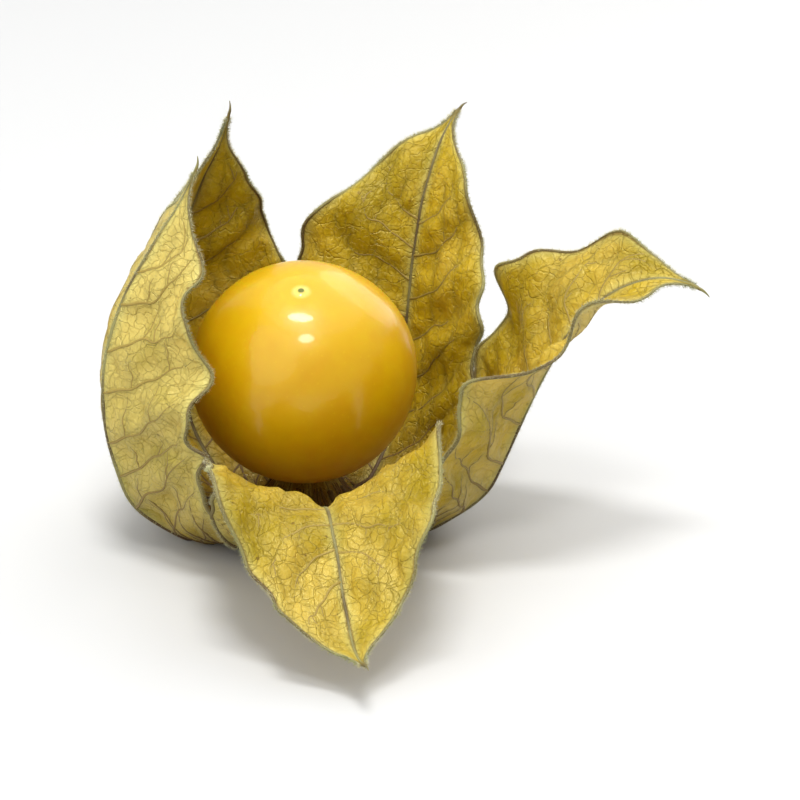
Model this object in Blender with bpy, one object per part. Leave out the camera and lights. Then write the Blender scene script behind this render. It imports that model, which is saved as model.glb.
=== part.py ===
"""A physalis fruit in its opened husk.

The berry sits on the end of its short cut stem. The husk grows from the same place: it dips from
the stem to five round shoulders, which stand on the table, rises round the berry as a cup, and is
torn from its tip into five pointed lobes. One lobe folds down in front, one opens to the right, and
three stand at the back and the left.
Lengths are in metres, angles in degrees, and +Z is up. The front is towards -Y.
"""

import math

import bmesh
import bpy
import numpy as np

MM = 0.001

# The berry: a round fruit that leans forwards in its husk, from the end of the stem.
BERRY_RADIUS = 9.0 * MM
BERRY_FLATTENING = 0.97
BERRY_LEAN = 25.0
BERRY_SEGMENTS = 44
BERRY_RINGS = 22
SEAT_DIMPLE_DEPTH = 0.5 * MM
SEAT_DIMPLE_RADIUS = 2.6 * MM
SCAR_DIMPLE_DEPTH = 0.18 * MM
SCAR_DIMPLE_RADIUS = 1.1 * MM
SCAR_POINT_HEIGHT = 0.3 * MM
SCAR_POINT_RADIUS = 0.35 * MM

# The husk's axis stands here, so that the origin is under the middle of the whole object.
HUSK_AXIS = (-7.65 * MM, 8.3 * MM)
CLEARANCE = 0.3 * MM

# The stem, with its seat for the berry. The seat is behind the husk's axis, and the stem's end
# hangs in the hollow between the husk's shoulders.
SEAT_CENTRE = (0.0, 1.8 * MM, 5.85 * MM)
STEM_SEGMENTS = 14
# Distance down the stem from the seat, and the stem's radius there.
STEM_PROFILE = (
    (0.00 * MM, 1.25 * MM),
    (0.22 * MM, 1.45 * MM),
    (0.44 * MM, 1.25 * MM),
    (0.65 * MM, 0.85 * MM),
    (2.60 * MM, 0.85 * MM),
    (2.95 * MM, 1.12 * MM),
    (3.50 * MM, 1.05 * MM),
    (4.20 * MM, 0.90 * MM),
    (5.00 * MM, 0.85 * MM),
)
STEM_LENGTH = STEM_PROFILE[-1][0]

# The husk is followed along arcs from its hole at the stem to the tips of its lobes.
HUSK_THICKNESS = 0.6 * MM
HUSK_HOLE_RADIUS = 1.55 * MM
HUSK_HOLE_HEIGHT = 4.45 * MM
HUSK_HOLE_ON_STEM = 1.95 * MM
LOBE_COUNT = 5
LOBE_LENGTH = 44.0 * MM
ROWS = 31
COLUMNS = 14
SPINE_SAMPLES = 881

# The slope of the husk's wall along an arc, the same all round near the stem.
BASE_ARCS = (0.0 * MM, 3.5 * MM, 7.5 * MM)
BASE_SLOPES = (-50.0, -50.0, 0.0)
# Further out every lobe has slopes of its own, at these arcs.
LOBE_ARCS = (12.0 * MM, 16.0 * MM, 21.0 * MM, 27.0 * MM, 34.0 * MM, 44.0 * MM)

# Half the width of a lobe along its arc.
WIDTH_ARCS = (0.0 * MM, 9.0 * MM, 13.0 * MM, 18.0 * MM, 24.0 * MM, 30.0 * MM, 36.0 * MM, 41.0 * MM, 44.0 * MM)
HALF_WIDTHS = (4.0 * MM, 6.6 * MM, 8.7 * MM, 9.8 * MM, 10.0 * MM, 8.8 * MM, 5.5 * MM, 2.1 * MM, 0.8 * MM)

# The cup changes from a round wall into five separate blades between these arcs.
CUP_END = 9.0 * MM
BLADE_START = 17.0 * MM
CUP_CAMBER = 36.0

# The five shoulders: how far the valleys between them rise, and how far their walls draw in.
SHOULDER_ARC = 7.5 * MM
SHOULDER_SPREAD = 3.6 * MM
VALLEY_RISE = 2.0 * MM
VALLEY_DRAW_IN = 0.07
FOOT_SINK = 0.28 * MM

# Pleats run out from the stem, three to a lobe.
PLEATS_PER_LOBE = 3
PLEAT_DEPTH = 0.32 * MM
PLEAT_ARC = 5.0 * MM
PLEAT_SPREAD = 3.4 * MM

# Ribs: one down the back of each lobe, and one where two lobes join.
RIB_HEIGHT = 0.28 * MM
KEEL_DEPTH = 0.16
FLUTE_DEPTH = 0.07
SEAM_OPENING = 5.5 * MM
TEAR_HALF_GAP = 0.45 * MM
TEAR_OPENING = 1.8 * MM
TEAR_ROOT = 3.0 * MM

# Folds between the ribs run forwards from each lobe's middle rib to its edges.
FOLD_HEIGHT = 0.38 * MM
FOLD_LENGTH = 5.6 * MM
FOLD_SWEEP = 6.0 * MM


class Lobe:
    """One of the husk's five lobes, and the tear between it and the next lobe."""

    def __init__(self, azimuth, slopes, lean, twist, camber, tear_arc, wave, curl, width=1.0):
        self.azimuth = math.radians(azimuth)
        self.slopes = slopes
        self.lean = math.radians(lean)
        self.twist = math.radians(twist)
        self.camber = math.radians(camber)
        self.tear_arc = tear_arc
        self.wave = wave
        self.curl = curl
        self.width = width


# Azimuth is measured from +X, slopes are at LOBE_ARCS, lean is sideways, towards the next lobe.
# wave holds the height, the length and the phase of the waves along a lobe's two edges.
LOBES = (
    Lobe(348, (42, 64, 68, 62, 40, -30), 8, -30, 26, 20 * MM, (1.6 * MM, 9 * MM, 0.4), -0.10, 1.04),
    Lobe(60, (43, 72, 80, 80, 70, 30), -6, -6, 32, 27 * MM, (1.2 * MM, 10 * MM, 2.1), 0.06),
    Lobe(132, (43, 68, 78, 92, 106, 106), -8, -10, 34, 32 * MM, (1.0 * MM, 11 * MM, 4.0), 0.05, 0.97),
    Lobe(204, (42, 67, 78, 96, 114, 112), 6, -6, 36, 15.5 * MM, (1.1 * MM, 9 * MM, 1.2), -0.06, 0.97),
    Lobe(276, (41, 60, 46, -12, -46, 22), 6, -10, 26, 16.5 * MM, (1.2 * MM, 9 * MM, 5.3), -0.10, 0.94),
)


def smooth_step(low, high, x):
    """0 below low, 1 above high, and a smooth rise between them."""
    u = np.clip((x - low) / (high - low), 0.0, 1.0)
    return u * u * (3.0 - 2.0 * u)


def bump(centre, spread, x):
    """1 at centre, and near 0 beyond twice the spread."""
    return np.exp(-(((x - centre) / spread) ** 2))


def curve_through(x, xs, ys):
    """A smooth curve through the points (xs, ys), read at x."""
    xs, ys = np.asarray(xs, float), np.asarray(ys, float)
    slopes = np.gradient(ys, xs)
    k = np.clip(np.searchsorted(xs, x) - 1, 0, len(xs) - 2)
    step = xs[k + 1] - xs[k]
    u = (x - xs[k]) / step
    start = (1 + 2 * u) * (1 - u) ** 2 * ys[k] + u * (1 - u) ** 2 * step * slopes[k]
    end = u * u * (3 - 2 * u) * ys[k + 1] + u * u * (u - 1) * step * slopes[k + 1]
    return start + end


def unit(vectors):
    """The vectors at length 1."""
    return vectors / np.linalg.norm(vectors, axis=-1, keepdims=True)


def spine_of(lobe, arcs):
    """Where the middle line of a lobe runs: its distance out, height and sideways drift, with its slope and lean."""
    fine = np.linspace(0.0, LOBE_LENGTH, SPINE_SAMPLES)
    slope = np.radians(curve_through(fine, BASE_ARCS + LOBE_ARCS, BASE_SLOPES + lobe.slopes))
    lean = lobe.lean * smooth_step(BLADE_START, LOBE_LENGTH, fine)
    steps = {
        "out": np.cos(lean) * np.cos(slope),
        "up": np.cos(lean) * np.sin(slope),
        "side": np.sin(lean),
    }
    start = {"out": HUSK_HOLE_RADIUS, "up": HUSK_HOLE_HEIGHT, "side": 0.0}
    spine = {"slope": np.interp(arcs, fine, slope), "lean": np.interp(arcs, fine, lean)}
    for name, rate in steps.items():
        middle = (rate[1:] + rate[:-1]) / 2 * np.diff(fine)
        spine[name] = start[name] + np.interp(arcs, fine, np.concatenate([[0.0], np.cumsum(middle)]))
    return spine


def around(azimuth):
    """The horizontal directions out from the husk's axis and round it, at an azimuth."""
    zero = np.zeros_like(azimuth)
    out = np.stack([np.cos(azimuth), np.sin(azimuth), zero], axis=-1)
    side = np.stack([-np.sin(azimuth), np.cos(azimuth), zero], axis=-1)
    return out, side


def stem_line(distance):
    """The middle of the stem at a distance down from its seat, and its direction up."""
    full = math.radians(BERRY_LEAN)
    lean = full * (1.0 - distance / STEM_LENGTH)
    back = (math.cos(lean) - math.cos(full)) * STEM_LENGTH / full
    down = (math.sin(full) - math.sin(lean)) * STEM_LENGTH / full
    seat = np.array([HUSK_AXIS[0] + SEAT_CENTRE[0], HUSK_AXIS[1] + SEAT_CENTRE[1], SEAT_CENTRE[2]])
    return seat + np.array([0.0, back, -down]), np.array([0.0, -math.sin(lean), math.cos(lean)])


def husk_centre(arcs):
    """The middle of the husk's rings: round the stem behind the axis, and on the axis further out."""
    share = (1.0 - smooth_step(0.0, SHOULDER_ARC, arcs))[..., None]
    hole, _ = stem_line(HUSK_HOLE_ON_STEM)
    axis = np.array([HUSK_AXIS[0], HUSK_AXIS[1], 0.0])
    return axis + share * (np.array([hole[0], hole[1], 0.0]) - axis)


def cup_points(lobe, spine, arcs, across):
    """The husk's wall where it is still one round cup."""
    turn = across * math.pi / LOBE_COUNT
    out, _ = around(lobe.azimuth + turn)
    valley = (1.0 - np.cos(LOBE_COUNT * turn)) / 2
    shoulder = bump(SHOULDER_ARC, SHOULDER_SPREAD, arcs)
    draw_in = VALLEY_DRAW_IN * valley * smooth_step(0.0, SHOULDER_ARC, arcs)
    pleats = (1.0 - np.cos(2 * math.pi * PLEATS_PER_LOBE * (across + 1) / 2)) / 2
    pleats = pleats * PLEAT_DEPTH * bump(PLEAT_ARC, PLEAT_SPREAD, arcs) * smooth_step(1 * MM, 5 * MM, arcs)
    height = spine["up"] + VALLEY_RISE * valley * shoulder + pleats
    up = np.array([0.0, 0.0, 1.0])
    return (
        husk_centre(arcs)
        + (spine["out"] * (1.0 - draw_in))[..., None] * out
        + height[..., None] * up
    )


def half_width(lobe, arcs):
    """Half the width of a lobe."""
    return lobe.width * curve_through(arcs, WIDTH_ARCS, HALF_WIDTHS)


def tip_fade(lobe, arcs):
    """1 along a lobe, falling to 0 as it narrows to its tip."""
    return smooth_step(1 * MM, 7 * MM, half_width(lobe, arcs))


def blade_points(lobe, spine, arcs, across):
    """A lobe as a cambered blade along its spine, with a keel and waved edges."""
    out, side = around(np.full_like(arcs, lobe.azimuth))
    up = np.array([0.0, 0.0, 1.0])
    cos_slope, sin_slope = np.cos(spine["slope"])[..., None], np.sin(spine["slope"])[..., None]
    cos_lean, sin_lean = np.cos(spine["lean"])[..., None], np.sin(spine["lean"])[..., None]
    climb = cos_slope * out + sin_slope * up
    breadth = cos_lean * side - sin_lean * climb
    outward = sin_slope * out - cos_slope * up

    free = smooth_step(BLADE_START, LOBE_LENGTH, arcs)
    twist = (lobe.twist * free)[..., None]
    breadth, outward = (
        np.cos(twist) * breadth + np.sin(twist) * outward,
        np.cos(twist) * outward - np.sin(twist) * breadth,
    )

    half = half_width(lobe, arcs)
    camber = np.radians(CUP_CAMBER) + (lobe.camber - np.radians(CUP_CAMBER)) * free
    edge = np.abs(across)
    torn = smooth_step(BLADE_START, BLADE_START + 8 * MM, arcs)
    tail = tip_fade(lobe, arcs)
    height, length, phase = lobe.wave
    wave = height * torn * tail * edge**2.5 * np.sin(
        2 * math.pi * arcs / length + phase + 1.7 * np.sign(across)
    )
    keel = KEEL_DEPTH * half * (1.0 - np.sqrt(across**2 + 0.02))
    keel = keel * smooth_step(CUP_END, BLADE_START, arcs) * smooth_step(0.5 * MM, 4 * MM, half)
    folds = FOLD_HEIGHT * tail * 4 * edge * (1 - edge) * np.sin(
        2 * math.pi * (arcs - FOLD_SWEEP * edge) / FOLD_LENGTH + phase + np.sign(across)
    )
    sideways = half * np.sin(camber * across) / camber
    offset = (
        -half * (1.0 - np.cos(camber * across)) / camber
        + keel
        - FLUTE_DEPTH * half * np.sin(math.pi * across) ** 2
        + lobe.curl * half * torn * np.clip(edge - 0.55, 0.0, 1.0) ** 2 / 0.2
        + wave
        + folds
    )
    middle = (
        husk_centre(arcs)
        + spine["out"][..., None] * out
        + spine["side"][..., None] * side
        + spine["up"][..., None] * up
    )
    return middle + sideways[..., None] * breadth + offset[..., None] * outward


def lobe_points(lobe, arcs, across):
    """A lobe on its own, before it is joined to its neighbours."""
    spine = spine_of(lobe, arcs)
    blend = smooth_step(CUP_END, BLADE_START, arcs)[..., None]
    cup = cup_points(lobe, spine, arcs, across)
    blade = blade_points(lobe, spine, arcs, across)
    return cup * (1.0 - blend) + blade * blend


def husk_points(index, arcs, across):
    """A lobe with each side drawn to the seam that it shares with its neighbour, as far up as the tear."""
    lobe = LOBES[index]
    before, after = LOBES[index - 1], LOBES[(index + 1) % LOBE_COUNT]
    own = lobe_points(lobe, arcs, across)
    ones = np.ones_like(across)
    for side, left, right, tear in (
        (1.0, lobe, after, lobe.tear_arc),
        (-1.0, before, lobe, before.tear_arc),
    ):
        seam = (lobe_points(left, arcs, ones) + lobe_points(right, arcs, -ones)) / 2
        edge = lobe_points(lobe, arcs, side * ones)
        above = np.clip(arcs - tear, 0.0, None)
        hold = np.exp(-((above / SEAM_OPENING) ** 2))
        gap = TEAR_HALF_GAP * smooth_step(0.0, TEAR_OPENING, above) * tip_fade(lobe, arcs)
        inwards = unit(lobe_points(lobe, arcs, 0.8 * side * ones) - edge)
        pull = (seam - edge) * hold[..., None] + inwards * gap[..., None]
        share = smooth_step(0.15, 1.0, side * across)[..., None]
        own = own + pull * share
    return own


def husk_sheet():
    """The husk as one sheet of triangles.

    Its points and faces, how far a rib raises each point, and the pairs of points that face each
    other across a tear, each with how near the tear's root it is.
    """
    arcs = np.linspace(0.0, LOBE_LENGTH, ROWS)
    across = np.linspace(-1.0, 1.0, COLUMNS + 1)
    arc_grid, across_grid = np.meshgrid(arcs, across, indexing="ij")
    points, ribs, index_of, faces = [], [], {}, []
    for lobe in range(LOBE_COUNT):
        grid = husk_points(lobe, arc_grid, across_grid)
        previous_tear = LOBES[lobe - 1].tear_arc
        for row in range(ROWS):
            for column in range(COLUMNS + 1):
                joined_before = column == 0 and arcs[row] <= previous_tear
                if joined_before and lobe > 0:
                    index_of[lobe, row, column] = index_of[lobe - 1, row, COLUMNS]
                    continue
                joined_to_first = column == COLUMNS and arcs[row] <= LOBES[lobe].tear_arc
                if joined_to_first and lobe == LOBE_COUNT - 1:
                    index_of[lobe, row, column] = index_of[0, row, 0]
                    continue
                index_of[lobe, row, column] = len(points)
                points.append(grid[row, column])
                on_rib = column in (0, COLUMNS // 2, COLUMNS)
                fade = smooth_step(2 * MM, 6 * MM, arcs[row]) * tip_fade(LOBES[lobe], arcs[row])
                ribs.append(RIB_HEIGHT * on_rib * fade)
        for row in range(ROWS - 1):
            for column in range(COLUMNS):
                a = index_of[lobe, row, column]
                b = index_of[lobe, row, column + 1]
                c = index_of[lobe, row + 1, column + 1]
                d = index_of[lobe, row + 1, column]
                if column < COLUMNS // 2:
                    faces += [(a, b, c), (a, c, d)]
                else:
                    faces += [(a, b, d), (b, c, d)]
    pairs = []
    for lobe in range(LOBE_COUNT):
        after = (lobe + 1) % LOBE_COUNT
        for row in range(ROWS):
            above = arcs[row] - LOBES[lobe].tear_arc
            if above > 0:
                near = math.exp(-((above / TEAR_ROOT) ** 2))
                pairs.append((index_of[lobe, row, COLUMNS], index_of[after, row, 0], near))
    return np.array(points), np.array(faces), np.array(ribs), pairs


def point_normals(points, faces, pairs):
    """Unit normals at the points of a sheet, each the mean of its faces', and alike across a tear's root."""
    corners = points[faces]
    crosses = np.cross(corners[:, 1] - corners[:, 0], corners[:, 2] - corners[:, 0])
    normals = np.zeros_like(points)
    for k in range(3):
        np.add.at(normals, faces[:, k], crosses)
    normals = unit(normals)
    for a, b, near in pairs:
        mean = unit(normals[a] + normals[b])
        for k in (a, b):
            normals[k] = unit(normals[k] * (1.0 - near) + mean * near)
    return normals


def mesh_object(name, points, faces, smooth_angle):
    """A mesh object, shaded smooth apart from its sharp edges."""
    mesh = bpy.data.meshes.new(name)
    mesh.from_pydata([tuple(p) for p in points], [], [tuple(int(i) for i in f) for f in faces])
    shape = bmesh.new()
    shape.from_mesh(mesh)
    bmesh.ops.recalc_face_normals(shape, faces=shape.faces)
    shape.to_mesh(mesh)
    shape.free()
    mesh.shade_smooth()
    mesh.set_sharp_from_angle(angle=math.radians(smooth_angle))
    made = bpy.data.objects.new(name, mesh)
    bpy.context.scene.collection.objects.link(made)
    return made


def build_husk():
    """The sheet given its thickness, and flattened where its shoulders and front lobes stand on the table."""
    points, faces, ribs, pairs = husk_sheet()
    normals = point_normals(points, faces, pairs)
    outer = points + normals * (HUSK_THICKNESS / 2 + ribs)[:, None]
    inner = points - normals * HUSK_THICKNESS / 2
    outer[:, 2] = np.maximum(outer[:, 2] - FOOT_SINK, 0.0)
    inner[:, 2] = np.maximum(inner[:, 2] - FOOT_SINK, HUSK_THICKNESS)
    count = len(points)
    edges = np.sort(np.concatenate([faces[:, [0, 1]], faces[:, [1, 2]], faces[:, [2, 0]]]), axis=1)
    once = {tuple(e) for e, n in zip(*np.unique(edges, axis=0, return_counts=True)) if n == 1}
    rim = []
    for face in faces:
        for a, b in zip(face, np.roll(face, -1)):
            if tuple(sorted((a, b))) in once:
                rim += [(b, a, a + count), (b, a + count, b + count)]
    flipped = faces[:, ::-1] + count
    return mesh_object(
        "husk", np.concatenate([outer, inner]), np.concatenate([faces, flipped, np.array(rim)]), 50
    )


def turned(name, rings, segments):
    """A closed solid from rings of (centre, out, side, radius), with a point at either end."""
    turns = np.linspace(0.0, 2 * math.pi, segments, endpoint=False)
    points = [rings[0][0]]
    for centre, out, side, radius in rings[1:-1]:
        points += [centre + radius * (math.cos(t) * out + math.sin(t) * side) for t in turns]
    points.append(rings[-1][0])
    last, faces = len(points) - 1, []
    first_ring, last_ring = 1, last - segments
    for k in range(segments):
        after = (k + 1) % segments
        faces.append((0, first_ring + after, first_ring + k))
        faces.append((last, last_ring + k, last_ring + after))
        for ring in range(first_ring, last_ring, segments):
            faces.append((ring + k, ring + after, ring + segments + after, ring + segments + k))
    return mesh_object(name, points, faces, 40)


def build_berry():
    """A slightly flattened ball, dimpled at its seat and round the small point of its scar."""
    seat, axis = stem_line(0.0)
    across = np.array([1.0, 0.0, 0.0])
    side = np.cross(axis, across)
    lowest = -BERRY_RADIUS * BERRY_FLATTENING + SEAT_DIMPLE_DEPTH
    centre = seat + axis * (CLEARANCE - lowest)
    rings = []
    for angle in np.linspace(-math.pi / 2, math.pi / 2, BERRY_RINGS + 1):
        radius = BERRY_RADIUS * math.cos(angle)
        along = BERRY_RADIUS * BERRY_FLATTENING * math.sin(angle)
        if angle < 0:
            along += SEAT_DIMPLE_DEPTH * bump(0.0, SEAT_DIMPLE_RADIUS, radius)
        else:
            along -= SCAR_DIMPLE_DEPTH * bump(0.0, SCAR_DIMPLE_RADIUS, radius)
            along += SCAR_POINT_HEIGHT * bump(0.0, SCAR_POINT_RADIUS, radius)
        rings.append((centre + along * axis, across, side, radius))
    return turned("berry", rings, BERRY_SEGMENTS)


def build_stem():
    """The seat, the neck that passes the husk's hole, and the cut stem, which bends to hang upright."""
    across = np.array([1.0, 0.0, 0.0])
    rings = []
    for distance, radius in ((0.0, 0.0), *STEM_PROFILE, (STEM_LENGTH, 0.0)):
        centre, axis = stem_line(distance)
        rings.append((centre, across, np.cross(across, axis), radius))
    return turned("stem", rings, STEM_SEGMENTS)


def material(name, colour, roughness):
    """A plain Principled finish."""
    made = bpy.data.materials.new(name)
    made.use_nodes = True
    shader = made.node_tree.nodes["Principled BSDF"]
    shader.inputs["Base Color"].default_value = (*colour, 1.0)
    shader.inputs["Roughness"].default_value = roughness
    shader.inputs["Metallic"].default_value = 0.0
    return made


def clear_scene():
    for obj in list(bpy.data.objects):
        bpy.data.objects.remove(obj, do_unlink=True)


def main():
    clear_scene()
    build_berry().data.materials.append(material("berry_skin", (0.72, 0.37, 0.01), 0.2))
    build_husk().data.materials.append(material("husk_paper", (0.50, 0.34, 0.05), 0.6))
    build_stem().data.materials.append(material("stem_bark", (0.33, 0.33, 0.12), 0.7))


main()
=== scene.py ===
"""Looks for a physalis fruit: its stem, its glossy berry, and the papery, veined husk open round it."""

import math

import bpy
import numpy as np
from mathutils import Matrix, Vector


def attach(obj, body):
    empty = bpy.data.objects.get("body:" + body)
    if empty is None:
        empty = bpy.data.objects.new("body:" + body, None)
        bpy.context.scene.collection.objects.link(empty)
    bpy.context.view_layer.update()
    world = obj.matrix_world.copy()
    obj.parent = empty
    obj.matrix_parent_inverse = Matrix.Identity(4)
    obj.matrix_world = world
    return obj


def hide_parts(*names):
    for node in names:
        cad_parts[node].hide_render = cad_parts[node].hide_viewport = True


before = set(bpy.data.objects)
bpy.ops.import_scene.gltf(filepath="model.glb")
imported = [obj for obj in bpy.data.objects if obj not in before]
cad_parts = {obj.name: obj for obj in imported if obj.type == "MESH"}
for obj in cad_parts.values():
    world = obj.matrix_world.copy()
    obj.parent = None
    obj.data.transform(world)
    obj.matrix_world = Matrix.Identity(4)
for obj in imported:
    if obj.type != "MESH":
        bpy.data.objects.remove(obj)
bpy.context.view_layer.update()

# The stem. A short cut length of the fruit's stalk, green and finely ribbed, which ends at the top
# in the flat seat that carries the berry, and passes through the hole in the husk's base.
MM = 0.001

# The husk's axis stands here, so that the origin is under the middle of the whole object.
HUSK_AXIS = (-7.65 * MM, 8.3 * MM)
SEAT_CENTRE = (0.0, 1.8 * MM, 5.85 * MM)
# Distance down the stem from the seat, and the stem's radius there.
STEM_PROFILE = (
    (0.00 * MM, 1.25 * MM),
    (0.22 * MM, 1.45 * MM),
    (0.44 * MM, 1.25 * MM),
    (0.65 * MM, 0.85 * MM),
    (2.60 * MM, 0.85 * MM),
    (2.95 * MM, 1.12 * MM),
    (3.50 * MM, 1.05 * MM),
    (4.20 * MM, 0.90 * MM),
    (5.00 * MM, 0.85 * MM),
)
STEM_LENGTH = STEM_PROFILE[-1][0]
BERRY_LEAN = 25.0

STEM_TURNS = 60
STEM_RINGS = 64
STEM_RIBS = 7
STEM_RIB_DEPTH = 0.05
STEM_RIB_TWIST = 9
STEM_RIPPLE = 0.02
STEM_RIPPLE_TURN = 400
# The rings of the cut end, counted from the last: inset, height, and shade from rim to pith.
CUT_RINGS = {
    -3: (0.95, 0.0, 0.35),
    -2: (0.80, 0.02 * MM, 0.5),
    -1: (0.38, 0.08 * MM, 0.65),
}
PITH_RAISE = 0.1 * MM
BARK_STRETCH = (1.0, 1.0, 0.22)
BARK_FIBRE = 0.25 * MM
BARK_PATCH = 1.1 * MM
BARK_RELIEF = 0.06 * MM
STEM_GREEN = (0.30, 0.33, 0.09, 1)
STEM_STRAW = (0.42, 0.34, 0.12, 1)
STEM_BROWN = (0.10, 0.055, 0.016, 1)
PITH_PALE = (0.52, 0.50, 0.22, 1)


def smooth_step(low, high, x):
    """0 below low, 1 above high, and a smooth rise between them."""
    u = np.clip((x - low) / (high - low), 0.0, 1.0)
    return u * u * (3.0 - 2.0 * u)


def bump(centre, spread, x):
    """1 at centre, and near 0 beyond twice the spread."""
    return np.exp(-(((x - centre) / spread) ** 2))


def stem_line(distance):
    """The middle of the stem at a distance down from its seat, and its direction up."""
    full = math.radians(BERRY_LEAN)
    lean = full * (1.0 - distance / STEM_LENGTH)
    back = (math.cos(lean) - math.cos(full)) * STEM_LENGTH / full
    down = (math.sin(full) - math.sin(lean)) * STEM_LENGTH / full
    seat = np.array([HUSK_AXIS[0] + SEAT_CENTRE[0], HUSK_AXIS[1] + SEAT_CENTRE[1], SEAT_CENTRE[2]])
    return seat + np.array([0.0, back, -down]), np.array([0.0, -math.sin(lean), math.cos(lean)])


class Tone:
    """A value or a colour of a finish: arithmetic on a value adds its Math nodes."""

    def __init__(self, tree, socket=None):
        self.tree = tree
        self.socket = socket

    def node(self, kind, settings, sockets, output=0):
        """Adds one node: its settings first, then the values or links of its sockets."""
        made = self.tree.nodes.new(kind)
        for name, value in settings.items():
            setattr(made, name, value)
        for name, value in sockets.items():
            if isinstance(value, Tone):
                self.tree.links.new(value.socket, made.inputs[name])
            else:
                made.inputs[name].default_value = value
        return Tone(self.tree, made.outputs[output] if made.outputs else None)

    def maths(self, operation, a, b):
        return self.node("ShaderNodeMath", {"operation": operation}, {0: a, 1: b})

    def __add__(self, other):
        return self.maths("ADD", self, other)

    __radd__ = __add__

    def __sub__(self, other):
        return self.maths("SUBTRACT", self, other)

    def __rsub__(self, other):
        return self.maths("SUBTRACT", other, self)

    def __mul__(self, other):
        return self.maths("MULTIPLY", self, other)

    __rmul__ = __mul__

    def size(self):
        """This value without its sign."""
        return self.maths("ABSOLUTE", self, 0.0)

    def rise(self, low, high):
        """0 below low, 1 above high, and a smooth rise between them; low may be the larger."""
        ends = {"Value": self, "From Min": low, "From Max": high}
        return self.node("ShaderNodeMapRange", {"interpolation_type": "SMOOTHSTEP"}, ends)

    def blend(self, other, share):
        """This colour changed to the other one by a share."""
        return self.node("ShaderNodeMix", {"data_type": "RGBA"}, {0: share, 6: self, 7: other}, 2)

    def move(self, operation, other):
        """This vector with Vector Math done on it."""
        return self.node("ShaderNodeVectorMath", {"operation": operation}, {0: self, 1: other})

    def place(self):
        """Where a point of the surface is, in metres."""
        return self.node("ShaderNodeTexCoord", {}, {}, "Object")

    def value(self, name):
        """One of the mesh's named point values."""
        return self.node("ShaderNodeAttribute", {"attribute_name": name}, {}, "Fac")

    def distance(self, point):
        """How far this place is from a point."""
        ends = {0: self, 1: tuple(point)}
        return self.node("ShaderNodeVectorMath", {"operation": "DISTANCE"}, ends, "Value")

    def cloud(self, size, detail=3.0, roughness=0.55, output=0):
        """Soft noise of about a size, in the units of this vector."""
        look = {"Vector": self, "Scale": 1.0 / size, "Detail": detail, "Roughness": roughness}
        return self.node("ShaderNodeTexNoise", {}, look, output)

    def cells(self, size):
        """How far this place is from the middle of its cell, among cells of about a size."""
        return self.node("ShaderNodeTexVoronoi", {}, {"Vector": self, "Scale": 1.0 / size})

    def net(self, scale):
        """How far this place is from the threads of a flat net, with so many cells to a unit."""
        kind = {"feature": "DISTANCE_TO_EDGE", "voronoi_dimensions": "2D"}
        return self.node("ShaderNodeTexVoronoi", kind, {"Vector": self, "Scale": scale})

    def relief(self, depth, strength=1.0):
        """A bump from this height, that depth in metres from 0 to 1."""
        return self.node("ShaderNodeBump", {}, {"Height": self, "Distance": depth, "Strength": strength})


def new_finish(name):
    """A material without nodes, and the tone that starts them."""
    made = bpy.data.materials.new(name)
    made.use_nodes = True
    made.node_tree.nodes.clear()
    return made, Tone(made.node_tree)


def colour(tone, value):
    """One colour as a tone, to blend others into."""
    return tone.node("ShaderNodeMix", {"data_type": "RGBA"}, {0: 0.0, 6: value, 7: value}, 2)


def end_finish(start, sockets):
    """Ends a finish with one shader, whose sockets take these values."""
    shader = start.node("ShaderNodeBsdfPrincipled", {}, sockets)
    start.node("ShaderNodeOutputMaterial", {}, {"Surface": shader})


def piece(name, points, faces, finish, slot, attributes=()):
    """A smooth mesh that rides with the fruit: its points, faces, finish and named point values."""
    mesh = bpy.data.meshes.new(name)
    points = np.ascontiguousarray(points, dtype=np.float32)
    faces = np.asarray(faces, dtype=np.int32)
    mesh.vertices.add(len(points))
    mesh.vertices.foreach_set("co", points.ravel())
    mesh.loops.add(faces.size)
    mesh.loops.foreach_set("vertex_index", faces.ravel())
    mesh.polygons.add(len(faces))
    mesh.polygons.foreach_set("loop_start", np.arange(len(faces), dtype=np.int32) * faces.shape[1])
    mesh.update(calc_edges=True)
    mesh.validate()
    mesh.shade_smooth()
    for label, values in attributes:
        layer = mesh.attributes.new(label, "FLOAT", "POINT")
        layer.data.foreach_set("value", np.ascontiguousarray(values, dtype=np.float32))
    made = bpy.data.objects.new(name, mesh)
    bpy.context.scene.collection.objects.link(made)
    mesh.materials.append(finish)
    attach(made, "root")
    return made


def closed_faces(rings, turns):
    """Triangles round rings of points, closed to one point at the first end and one at the last."""
    ring, turn = np.meshgrid(np.arange(rings - 1), np.arange(turns), indexing="ij")
    a = (ring * turns + turn).ravel()
    b = (ring * turns + (turn + 1) % turns).ravel()
    c, d = b + turns, a + turns
    end = rings * turns
    last = end - turns
    caps = [(end, (k + 1) % turns, k) for k in range(turns)]
    caps += [(end + 1, last + k, last + (k + 1) % turns) for k in range(turns)]
    return np.concatenate([np.stack([a, b, c], 1), np.stack([a, c, d], 1), caps])


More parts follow.
